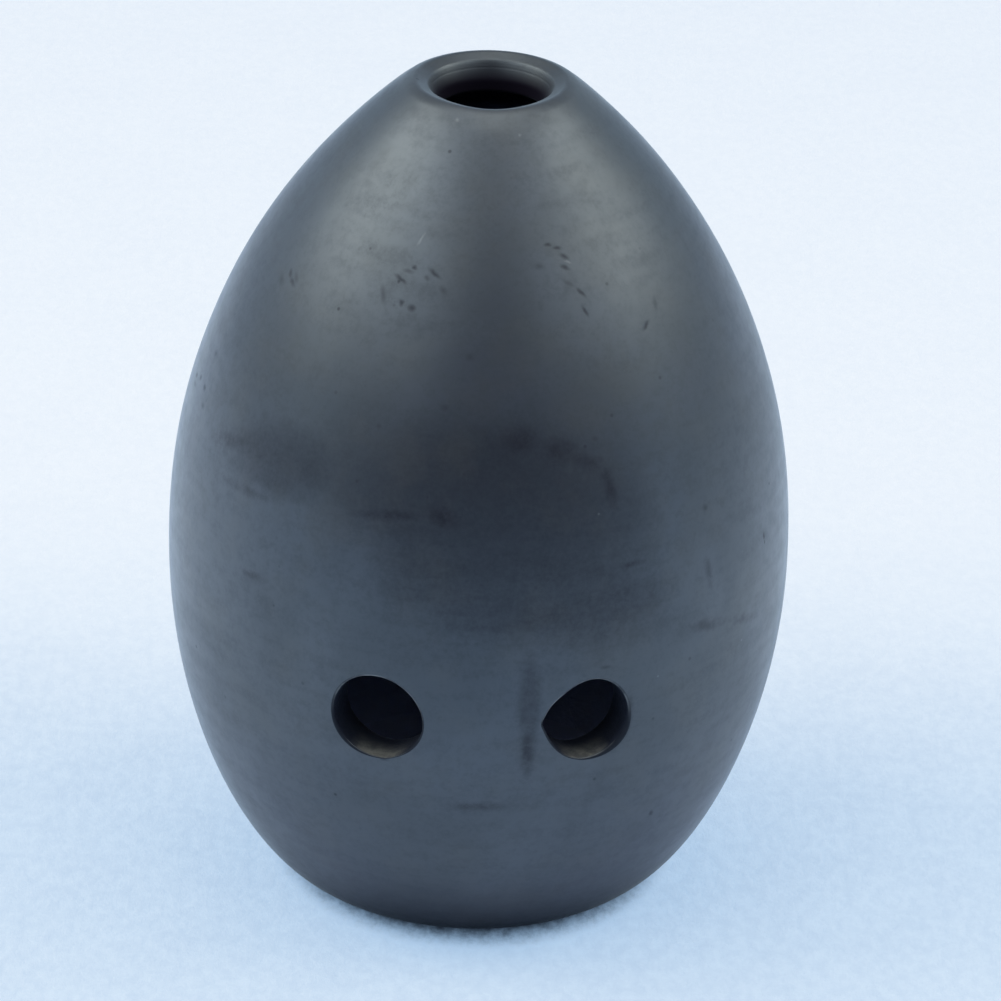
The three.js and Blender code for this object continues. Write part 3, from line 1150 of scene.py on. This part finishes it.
def cloth():
    """The felt-like cloth under the xun; seen directly it glows a little, to soften its shadow."""
    material, shader, place = new_material("cloth")
    seen = shader.output("LightPath", out="Is Camera Ray")
    far = place.axis(1).band(*CLOTH_DEPTHS)
    farther = place.axis(1).band(*GLOW_DEPTHS)

    # Tufts of the felt, painted as shade on the cloth and its glow, which show less far away
    tufts = shader.noise(shader.vector("MULTIPLY", place, TUFT_STRETCH), *TUFT_NOISE)
    drift = shader.noise(place, *DRIFT_NOISE)
    shade = (tufts.band(*TUFT_SHADE) + drift.band(*DRIFT_SHADE)) * farther.band(*FAR_SHADE)

    # The painted contact shadow round the foot, on the cloth and on its glow
    contact = shader.vector("SUBTRACT", place, (CONTACT_SHIFT, 0, 0))
    radius = contact.radius(CONTACT_STRETCH) + tufts.band(*CONTACT_FRAYING)
    end = seen * (CONTACT_END - HIDDEN_END) + (FOOT_RADIUS + HIDDEN_END)
    unshadowed_cloth = radius.band(FOOT_RADIUS + CONTACT_START, end)

    # Farther back, the cloth that the burnish sees is lighter: painted light
    tone = shader.blend(seen, shader.blend(far, NEAR_CLOTH, FAR_CLOTH_PAINTED_LIGHTER), SEEN_CLOTH)
    tone = shader.blend(shade, tone, CLOTH_HOLLOW_SHADE)
    # Painted contact shadow on the cloth's colour
    tone = shader.blend(unshadowed_cloth, CONTACT_SHADOW, tone)
    seen_glow = shader.blend(shade, shader.blend(farther, NEAR_GLOW, FAR_GLOW), CLOTH_HOLLOW_SHADE)
    aside = shader.math("ABSOLUTE", place.axis(0))
    beside = aside.band(*SIDE_GLOW_START) * aside.band(*SIDE_GLOW_END)
    glow = shader.blend(seen, shader.blend(beside, FRONT_GLOW, SIDE_GLOW), seen_glow)
    # Painted contact shadow on the cloth's glow
    glow = shader.blend(unshadowed_cloth, CONTACT_SHADOW, glow)
    glowing = {"Emission Color": glow, "Emission Strength": 1}
    shader.principled(tone, CLOTH_ROUGHNESS, shader.bump(tufts, TUFT_RELIEF), 0, glowing)
    return material


def floor():
    """The table under its cloth, as the stage."""
    mesh = bpy.data.meshes.new("floor")
    reach = CLOTH_HALF_SIZE
    corners = [(-reach, -reach, 0), (reach, -reach, 0), (reach, reach, 0), (-reach, reach, 0)]
    mesh.from_pydata(corners, [], [(0, 1, 2, 3)])
    mesh.materials.append(cloth())
    piece = in_scene(bpy.data.objects.new("floor", mesh))


def towards(azimuth, elevation):
    """The direction of a place seen from the object: 0 is the player's side, 90 is to its right."""
    azimuth, elevation = math.radians(azimuth), math.radians(elevation)
    level = math.cos(elevation)
    return Vector((level * math.sin(azimuth), -level * math.cos(azimuth), math.sin(elevation)))


# The colours of the lamps' light: nearly white from the sides, cooler from the front
WARM = (0.945, 0.98, 0.965)
WHITE = (0.93, 0.98, 1)
COOL = (0.79, 0.885, 1)
COOLER = (0.6, 0.8, 1)

# Lamps: name, azimuth and elevation in degrees, distance and side in metres, radiance, colour
LAMPS = [
    ("left_softbox", -97, 42, 1.1, 0.75, 4.9, WARM),
    ("right_softbox", 93, 40, 1.1, 0.7, 4.6, WARM),
    ("top_softbox", 175, 82, 1.2, 0.9, 2.3, WHITE),
    ("front_top_softbox", 0, 76, 1.2, 0.8, 0.4, COOL),
    ("front_left_softbox", -50, 45, 1.1, 0.7, 2.8, COOL),
    ("front_right_softbox", 50, 45, 1.1, 0.7, 1.75, COOL),
    ("low_left_softbox", -75, 8, 1.1, 0.6, 0.85, COOLER),
    ("low_right_softbox", 75, 8, 1.1, 0.6, 0.75, COOLER),
]


def softbox(name, azimuth, elevation, distance, side, radiance, tint):
    """A square lamp that faces the middle of the object."""
    data = bpy.data.lights.new(name, "AREA")
    data.shape = "SQUARE"
    data.size = side
    data.energy = radiance * math.pi * side * side
    data.color = tint
    lamp = in_scene(bpy.data.objects.new(name, data))
    direction = towards(azimuth, elevation)
    lamp.location = Vector((0, 0, HEIGHT / 2)) + direction * distance
    lamp.rotation_euler = direction.to_track_quat("Z", "Y").to_euler()
    lamp.visible_camera = False


# The room, and how far back and how far up a direction looks where the backdrop starts and ends
ROOM = colour(0.01, 0.012, 0.015)
BACKDROP = colour(0.5, 0.67, 0.85)
BACKGROUND = colour(0.8, 0.89, 0.97)
BACKDROP_START = (0, 0.5)
BACKDROP_TOP = (0.75, 0.35)


def surroundings():
    """A dim room with a pale backdrop behind the table; the camera sees the backdrop all round."""
    world = bpy.data.worlds.new("world")
    bpy.context.scene.world = world
    shader = Shader(world)
    seen = shader.output("LightPath", out="Is Camera Ray")
    way = shader.output("TexCoord", out="Generated")
    behind = way.axis(1).band(*BACKDROP_START) * way.axis(2).band(*BACKDROP_TOP)
    tone = shader.blend(seen, shader.blend(behind, ROOM, BACKDROP), BACKGROUND)
    surface = shader.output("Background", {"Color": tone})
    shader.node("OutputWorld", {"Surface": surface})


# The photograph's view: a long lens, held slightly turned
CAMERA_PLACE = Vector((-17.571, -629.059, 356.556)) * MM
CAMERA_AIM = Vector((2.562, -0.072, 47.456)) * MM
CAMERA_ROLL = math.radians(1.711)
CAMERA_LENS = 206.32


def camera():
    """The camera, which looks from its place to its aim."""
    data = bpy.data.cameras.new("camera")
    data.lens = CAMERA_LENS
    viewer = in_scene(bpy.data.objects.new("camera", data))
    viewer.location = CAMERA_PLACE
    aim = (CAMERA_AIM - CAMERA_PLACE).to_track_quat("-Z", "Y").to_matrix()
    viewer.rotation_euler = (aim @ Matrix.Rotation(CAMERA_ROLL, 3, "Z")).to_euler()
    bpy.context.scene.camera = viewer


camera()
floor()
surroundings()
for placed in LAMPS:
    softbox(*placed)
bpy.context.scene.view_settings.view_transform = "Standard"

clays = [
    burnished_clay("burnished_clay", scuffed=False),
    bare_clay(),
    burnished_clay("scuffed_clay", scuffed=True),
    worn_clay_with_edge_light(),
]
skins = {
    "foot_slab": foot(),
    "lower_shell": wall_shell(FLOOR_LEVEL, JOINT_LEVEL, LOWER_HOLES),
    "upper_shell": wall_shell(JOINT_LEVEL, MOUTH_LEVEL, UPPER_HOLES),
    "mouth_ring": mouth(),
}
for node, skin in skins.items():
    piece = skin.object("clay_" + node, clays)
    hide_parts(node)
    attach(piece, "root")
